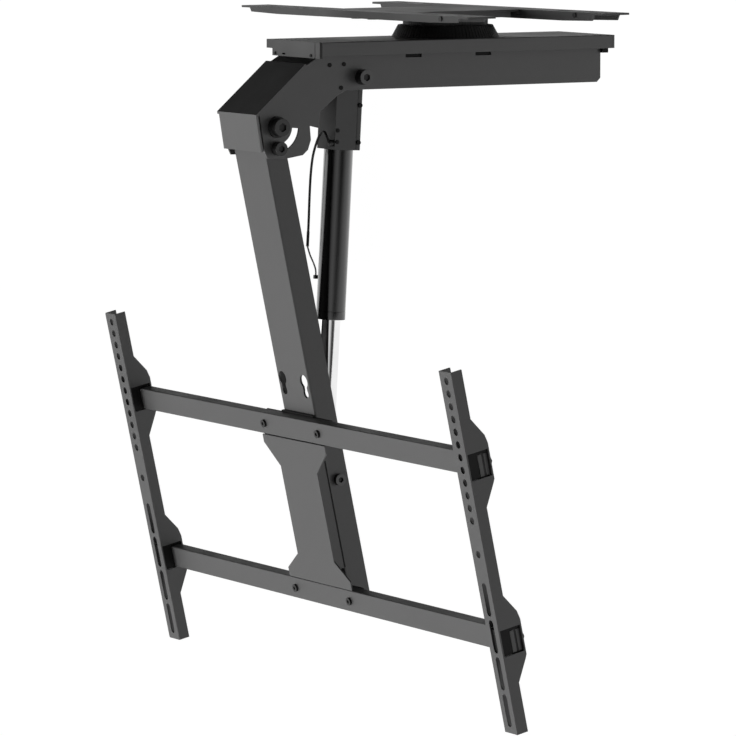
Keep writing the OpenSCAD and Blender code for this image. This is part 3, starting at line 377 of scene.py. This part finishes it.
def broken_edges(node, width):
    """A finished copy of a CAD node: sharp edges rounded by a small radius, and folds by a larger one."""
    obj = bpy.data.objects.new(node + "_finished", clean_copy(node))
    bpy.context.scene.collection.objects.link(obj)
    if node in FOLDED:
        mark_bends(obj.data)
        bend = obj.modifiers.new("bends", "BEVEL")
        bend.width = FOLDED[node] * MM
        bend.segments = FOLD_STEPS
        bend.limit_method = "WEIGHT"
        bend.use_clamp_overlap = True
    bevel = obj.modifiers.new("edges", "BEVEL")
    bevel.width = width * MM
    bevel.segments = EDGE_STEPS
    bevel.limit_method = "ANGLE"
    bevel.angle_limit = EDGE_ANGLE
    bevel.use_clamp_overlap = True
    graph = bpy.context.evaluated_depsgraph_get()
    mesh = bpy.data.meshes.new_from_object(obj.evaluated_get(graph))
    obj.modifiers.clear()
    obj.data = mesh
    shade(mesh)
    flat = obj.modifiers.new("flat faces", "WEIGHTED_NORMAL")
    flat.keep_sharp = True
    mesh.materials.clear()
    mesh.materials.append(OWN_FINISHES.get(node, FINISHES[SLOT_OF[node]]))
    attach(obj, BODY_OF[node])
    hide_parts(node)
    return obj


def paint_lighting_on_faces(node, direction, material, depth=math.inf):
    """Give the faces of a finished piece that look one way, down to a depth in mm, a second finish that
    paints light or shade on them, as each call chooses.
    """
    mesh, way = finished[node].data, Vector(direction)
    lowest = max(vertex.co.dot(way) for vertex in mesh.vertices) - depth * MM
    mesh.materials.append(material)
    for face in mesh.polygons:
        if face.normal.dot(way) > FACING and face.center.dot(way) > lowest:
            face.material_index = len(mesh.materials) - 1


# Radii of edges and of sheet folds in mm, and how deep from a bolt's end the faces get painted light
EDGE_WIDTHS = {
    "front_ceiling_bar": 0.4, "rear_ceiling_bar": 0.4, "centre_plate": 0.4, "swivel_pan": 0.4,
    "tray_cover": 0.6, "front_cap": 0.4, "rear_cap": 0.4, "dark_blocks": 0.3, "beam": 0.5, "hood_cover": 0.8,
    "arm": 0.7, "front_plate": 0.4, "upper_rail": 0.7, "lower_rail": 0.7, "left_bracket": 0.5,
    "right_bracket": 0.5, "rail_saddles": 0.3, "actuator_housing": 0.9, "housing_cover": 0.8,
    "rail_end_caps": 0.3, "arm_pivot_bolt": 0.5, "anchor_bolt": 0.6, "stop_bolt": 0.5, "rail_bolts": 0.4,
    "rod_pin_heads": 0.5, "cover_screws": 0.3, "trim_screws": 0.2, "edge_screws": 0.3,
    "outer_tube": 0.3, "tube_seal": 0.6, "chrome_rod": 0.4, "rod_eye": 0.5, "bar_bolts": 0.5,
    "left_clamp_screws": 0.3, "right_clamp_screws": 0.3, "left_clamp_straps": 0.2, "right_clamp_straps": 0.2,
    "left_slide_pads": 0.3, "right_slide_pads": 0.3, "cord_gland": 0.4, "cord_plug": 0.4,
}
FOLDED = {"arm": 2.4, "upper_rail": 1.8, "lower_rail": 1.8, "left_bracket": 1.2, "right_bracket": 1.2,
          "tray_cover": 1.2, "beam": 1.2}
PAINTED_LIGHT_DEPTH = 1
finished = {node: broken_edges(node, width) for node, width in EDGE_WIDTHS.items()}
# Painted shade on the hood cover's upward faces.
paint_lighting_on_faces("hood_cover", (0, 0, 1), HOOD_ROOF_PAINTED_SHADE)
# Painted light on the front cap's forward faces.
paint_lighting_on_faces("front_cap", (0, -1, 0), CAP_FACE_PAINTED_LIGHT)
# Painted shade on the actuator housing's forward faces.
paint_lighting_on_faces("actuator_housing", (0, -1, 0), HOUSING_FRONT_PAINTED_SHADE)
# Painted light on the end faces of the bolts and rod pins.
BOLT_PAINTED_LIGHTS = {"anchor_bolt": BOLT_END_PAINTED_LIGHT, "rod_pin_heads": BOLT_END_PAINTED_LIGHT, "arm_pivot_bolt": DARK_BOLT_END_PAINTED_LIGHT,
              "stop_bolt": DARK_BOLT_END_PAINTED_LIGHT}
for bolt, painted_light in BOLT_PAINTED_LIGHTS.items():
    for side in (1, -1):
        paint_lighting_on_faces(bolt, (side, 0, 0), painted_light, depth=PAINTED_LIGHT_DEPTH)
for node, obj in frame["nodes"].items():
    if node not in finished:
        obj.data.materials.clear()
        obj.data.materials.append(FINISHES[SLOT_OF[node]])

# Small pieces on the arm's frame: grey ribs on the rail ends as a painted highlight, dark pads in the
# brackets under the rails that are partly painted shade, and dark strips beside the cover plate, above the
# rails and under the upper rail as painted shade. Lengths in mm.

PIVOT = Vector((0, -259.5, -131))
ARM_TILT = math.radians(12.2)
FRAME_AHEAD, FRAME_DOWN = 49, 249.5
RAIL_BACK, RAIL_D, RAIL_H, RAIL_END = 15.3, 13.7, 27, 413.2
RAIL_REAR = RAIL_BACK + RAIL_D
RAIL_DOWNS = (99.7, 306.7)
SUNK = 0.2
END_RIBS = ((0.6, 5.6, 1.0), (8.6, 13.2, 0.7))
RIB_MARGIN = 1
BRACKET_XS = {"left_bracket": -377, "right_bracket": 404}
PAD_HALF, PAD_FRONT, PAD_REAR, PAD_TOP, PAD_LOW = 10.5, 23, 29, 0.6, 6
WAIST, PLATE_WIDE, PLATE_T = 42.5, 72.5, 2
PLATE_SHADE_PROUD, PLATE_SHADE_FRONT, PLATE_SHADE_REAR, PLATE_SHADE_TOP, PLATE_SHADE_LOW = 0.4, 1, 0.6, 26, 22.5
RAIL_SHADE_HALF, RAIL_SHADE_FRONT, RAIL_SHADE_REAR = 36.5, 1.5, 1.7
RAIL_SHADE_HEIGHTS = (2.5, 5.5)
UNDER_RAIL_SHADE_INSET, UNDER_RAIL_SHADE_T, UNDER_RAIL_SHADE_H = 2, 1, 3


def in_frame(point):
    """A point given in mm from the brackets' top edge and front face, as a scene point in metres."""
    x, y, z = point[0], point[1] - FRAME_AHEAD, point[2] - FRAME_DOWN
    across, up = math.cos(ARM_TILT), math.sin(ARM_TILT)
    return (PIVOT + Vector((x, y * across - z * up, y * up + z * across))) * MM


def frame_block(name, low, high, material, body="arm"):
    """A small block on the arm's frame, between two corners, that rides on a body."""
    corners = [in_frame((x, y, z)) for z in (low[2], high[2]) for y in (low[1], high[1])
               for x in (low[0], high[0])]
    faces = [(0, 2, 3, 1), (4, 5, 7, 6), (0, 1, 5, 4), (2, 6, 7, 3), (0, 4, 6, 2), (1, 3, 7, 5)]
    mesh = bpy.data.meshes.new(name)
    mesh.from_pydata(corners, [], faces)
    mesh.materials.append(material)
    obj = bpy.data.objects.new(name, mesh)
    bpy.context.scene.collection.objects.link(obj)
    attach(obj, body)


def dress_frame():
    """Place the small blocks on the rails, the cover plate and the brackets, with their painted highlight and
    painted shade.
    """
    top = RAIL_DOWNS[0] + RAIL_H
    for side in (-1, 1):
        for down in RAIL_DOWNS:
            # Grey ribs on the rail end caps, as a painted highlight.
            for first, last, proud in END_RIBS:
                xs = sorted((side * (RAIL_END - SUNK), side * (RAIL_END + proud)))
                frame_block("rail_end_rib", (xs[0], RAIL_BACK + first, -down - RAIL_H + RIB_MARGIN),
                            (xs[1], RAIL_BACK + last, -down - RIB_MARGIN), RIB_PAINTED_HIGHLIGHT)
        # Dark strips beside the cover plate: painted shade of the gap between its side and the arm.
        xs = sorted((side * (WAIST - SUNK), side * (WAIST + PLATE_SHADE_PROUD)))
        frame_block("plate_gap_painted_shade", (xs[0], RAIL_REAR - PLATE_SHADE_FRONT, PLATE_SHADE_LOW - RAIL_DOWNS[1]),
                    (xs[1], RAIL_REAR + PLATE_SHADE_REAR, -top - PLATE_SHADE_TOP), DULL_BLACK_AND_PAINTED_SHADE)
    # Dark pads in the brackets' windows under the rails: partly inserts, partly painted shade inside the
    # windows.
    for body, x in BRACKET_XS.items():
        for down in RAIL_DOWNS:
            frame_block("clamp_pad_and_painted_shade", (x - PAD_HALF, PAD_FRONT, -down - RAIL_H - PAD_LOW),
                        (x + PAD_HALF, PAD_REAR, -down - RAIL_H - PAD_TOP), DULL_BLACK_AND_PAINTED_SHADE, body)
    # Dark strips above the rails across the arm: painted shade where the arm meets the rails.
    for down, height in zip(RAIL_DOWNS, RAIL_SHADE_HEIGHTS):
        frame_block("rail_contact_painted_shade", (-RAIL_SHADE_HALF, RAIL_REAR - RAIL_SHADE_FRONT, -down - SUNK),
                    (RAIL_SHADE_HALF, RAIL_REAR + RAIL_SHADE_REAR, height - down), DULL_BLACK_AND_PAINTED_SHADE)
    # A dark strip under the upper rail along the cover plate's top edge: painted shade of the gap there.
    frame_block("under_rail_painted_shade", (-PLATE_WIDE + UNDER_RAIL_SHADE_INSET, RAIL_BACK + PLATE_T, -top - UNDER_RAIL_SHADE_H),
                (PLATE_WIDE - UNDER_RAIL_SHADE_INSET, RAIL_BACK + PLATE_T + UNDER_RAIL_SHADE_T, -top), DULL_BLACK_AND_PAINTED_SHADE)


dress_frame()

# The lead, its sleeve, ferrule and wires

SLEEVE_POINTS, SLEEVE_PROUD = 5, 0.25
FERRULE_PROUD, FERRULE_SHARE = 0.4, 0.4


def dress_lead():
    """The lead and its thin wires as cords, with the sleeve and the ferrule at their ends."""
    lead = curve_tube("lead_sheath", lead_line, LEAD_R * MM)
    wires = curve_tube("lead_wires", wires_line, WIRES_R * MM)
    for obj, node in ((lead, "cord_lead"), (wires, "cord_wires")):
        obj.data.materials.append(FINISHES[SLOT_OF[node]])
        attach(obj, "actuator")
        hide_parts(node)
    sleeve = curve_tube("lead_sleeve", lead_line[-SLEEVE_POINTS:], (LEAD_R + SLEEVE_PROUD) * MM)
    sleeve.data.materials.append(FINISHES["black_plastic"])
    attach(sleeve, "actuator")
    ferrule_line = [lead_line[-1] + (q - lead_line[-1]) * FERRULE_SHARE for q in lead_line[-2:]]
    ferrule = curve_tube("lead_ferrule", ferrule_line, (LEAD_R + FERRULE_PROUD) * MM)
    ferrule.data.materials.append(FINISHES["wire_grey"])
    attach(ferrule, "actuator")


dress_lead()

# Floor, world and lights

FLOOR_SIZE, FLOOR_Z = 20.0, -2.35
GLOW, GLOW_SHARE = 1.08, 0.93
# Share of the studio that lights the object, apart from what is mirrored in it
FILL = 0.26
# Heights between which the studio darkens upwards, and the share that is left at the top
SKY_SPAN, SKY_TOP = (0.1, 0.6), 0.05
# The colour ramp is read in levels up to 1, so the levels are divided by this first and multiplied after
GAIN = 2.0
# Level directions to the camera's right and toward the camera
RIGHT, TOWARD = (0.5198, 0.8543, 0.0), (0.8543, -0.5198, 0.0)
# Angle in degrees to the right of the direction toward the camera, and brightness there
STRIPS = [
    (-180, 1.0), (-130, 1.6), (-88, 1.7), (-74, 1.2), (-60, 0.35), (-46, 0.03), (-34, 0.05), (-20, 0.5),
    (-2, 0.75), (12, 0.4), (24, 0.1), (31, 0.03), (40, 0.05), (52, 0.3), (81, 0.85), (116, 1.7), (180, 1.0)]


def shown_ray(nodes, links):
    """1 for what the camera and shiny surfaces see, 0 for light that falls on the object."""
    path = nodes.new("ShaderNodeLightPath")
    seen = nodes.new("ShaderNodeMath")
    seen.operation = "MAXIMUM"
    links.new(path.outputs["Is Camera Ray"], seen.inputs[0])
    links.new(path.outputs["Is Glossy Ray"], seen.inputs[1])
    return path, seen.outputs[0]


def make_floor():
    """A pale floor a room's height below, which the camera sees nearly white, with the object's shadow."""
    mesh = bpy.data.meshes.new("floor")
    corners = [(x * FLOOR_SIZE, y * FLOOR_SIZE, FLOOR_Z) for x, y in ((-1, -1), (1, -1), (1, 1), (-1, 1))]
    mesh.from_pydata(corners, [], [(0, 1, 2, 3)])
    obj = bpy.data.objects.new("floor", mesh)
    bpy.context.scene.collection.objects.link(obj)
    material = bpy.data.materials.new("pale floor")
    material.use_nodes = True
    nodes, links = material.node_tree.nodes, material.node_tree.links
    shader = nodes["Principled BSDF"]
    shader.inputs["Base Color"].default_value = (0.8, 0.8, 0.8, 1)
    shader.inputs["Roughness"].default_value = 0.9
    glow = nodes.new("ShaderNodeEmission")
    glow.inputs["Color"].default_value = (1, 1, 1, 1)
    glow.inputs["Strength"].default_value = GLOW
    seen = shown_ray(nodes, links)[1]
    part = nodes.new("ShaderNodeMath")
    part.operation = "MULTIPLY"
    part.inputs[1].default_value = GLOW_SHARE
    links.new(seen, part.inputs[0])
    mix = nodes.new("ShaderNodeMixShader")
    links.new(part.outputs[0], mix.inputs["Fac"])
    links.new(shader.outputs[0], mix.inputs[1])
    links.new(glow.outputs[0], mix.inputs[2])
    links.new(mix.outputs[0], nodes["Material Output"].inputs["Surface"])
    mesh.materials.append(material)


def ramp(nodes, links, value, span, ends):
    """A value moved from one span to another."""
    node = nodes.new("ShaderNodeMapRange")
    node.inputs["From Min"].default_value, node.inputs["From Max"].default_value = span
    node.inputs["To Min"].default_value, node.inputs["To Max"].default_value = ends
    links.new(value, node.inputs["Value"])
    return node.outputs["Result"]


def times(nodes, links, a, b):
    """The product of two values."""
    node = nodes.new("ShaderNodeMath")
    node.operation = "MULTIPLY"
    links.new(a, node.inputs[0])
    links.new(b, node.inputs[1])
    return node.outputs[0]


def strips(nodes, links, direction):
    """Brightness round the studio, by the angle to the right of the direction toward the camera."""
    parts = []
    for axis in (RIGHT, TOWARD):
        dot = nodes.new("ShaderNodeVectorMath")
        dot.operation = "DOT_PRODUCT"
        links.new(direction, dot.inputs[0])
        dot.inputs[1].default_value = axis
        parts.append(dot.outputs["Value"])
    angle = nodes.new("ShaderNodeMath")
    angle.operation = "ARCTAN2"
    links.new(parts[0], angle.inputs[0])
    links.new(parts[1], angle.inputs[1])
    colours = nodes.new("ShaderNodeValToRGB")
    links.new(ramp(nodes, links, angle.outputs[0], (-math.pi, math.pi), (0.0, 1.0)), colours.inputs[0])
    stops = colours.color_ramp.elements
    for stop, level in ((stops[0], STRIPS[0][1]), (stops[1], STRIPS[-1][1])):
        stop.color = (level / GAIN, level / GAIN, level / GAIN, 1)
    for degrees, level in STRIPS[1:-1]:
        stops.new((degrees + 180) / 360).color = (level / GAIN, level / GAIN, level / GAIN, 1)
    return colours.outputs["Color"]


def make_world():
    """White to the camera, bright strips round the horizon and dark overhead to the object."""
    world = bpy.data.worlds.new("studio")
    bpy.context.scene.world = world
    world.use_nodes = True
    nodes, links = world.node_tree.nodes, world.node_tree.links
    path, seen = shown_ray(nodes, links)
    place = nodes.new("ShaderNodeTexCoord")
    split = nodes.new("ShaderNodeSeparateXYZ")
    links.new(place.outputs["Generated"], split.inputs[0])
    height = ramp(nodes, links, split.outputs["Z"], SKY_SPAN, (1.0, SKY_TOP))
    round_about = times(nodes, links, height, strips(nodes, links, place.outputs["Generated"]))
    level = times(nodes, links, round_about, ramp(nodes, links, seen, (0.0, 1.0), (FILL * GAIN, GAIN)))
    top = nodes.new("ShaderNodeMath")
    top.operation = "MAXIMUM"
    links.new(level, top.inputs[0])
    links.new(path.outputs["Is Camera Ray"], top.inputs[1])
    background = nodes["Background"]
    background.inputs["Color"].default_value = (1, 1, 1, 1)
    links.new(top.outputs[0], background.inputs["Strength"])


def area_light(name, place, aim, size, power):
    """A soft rectangular lamp that faces a point."""
    light = bpy.data.lights.new(name, "AREA")
    light.shape = "RECTANGLE"
    light.size, light.size_y = size
    light.energy = power
    obj = bpy.data.objects.new(name, light)
    bpy.context.scene.collection.objects.link(obj)
    obj.location = place
    obj.rotation_euler = (Vector(aim) - Vector(place)).to_track_quat("-Z", "Y").to_euler()
    return obj


make_floor()
make_world()
area_light("front_key", place=(-0.9, -3.5, -2.1), aim=(-0.1, -0.2, -0.35), size=(2.2, 1.6), power=96)
side_fill = area_light("side_fill", place=(2.64, 2.8, -0.6), aim=(0, -0.1, -0.3), size=(1.6, 1.6), power=35)
side_fill.visible_glossy = False
bpy.context.scene.view_settings.view_transform = "Standard"
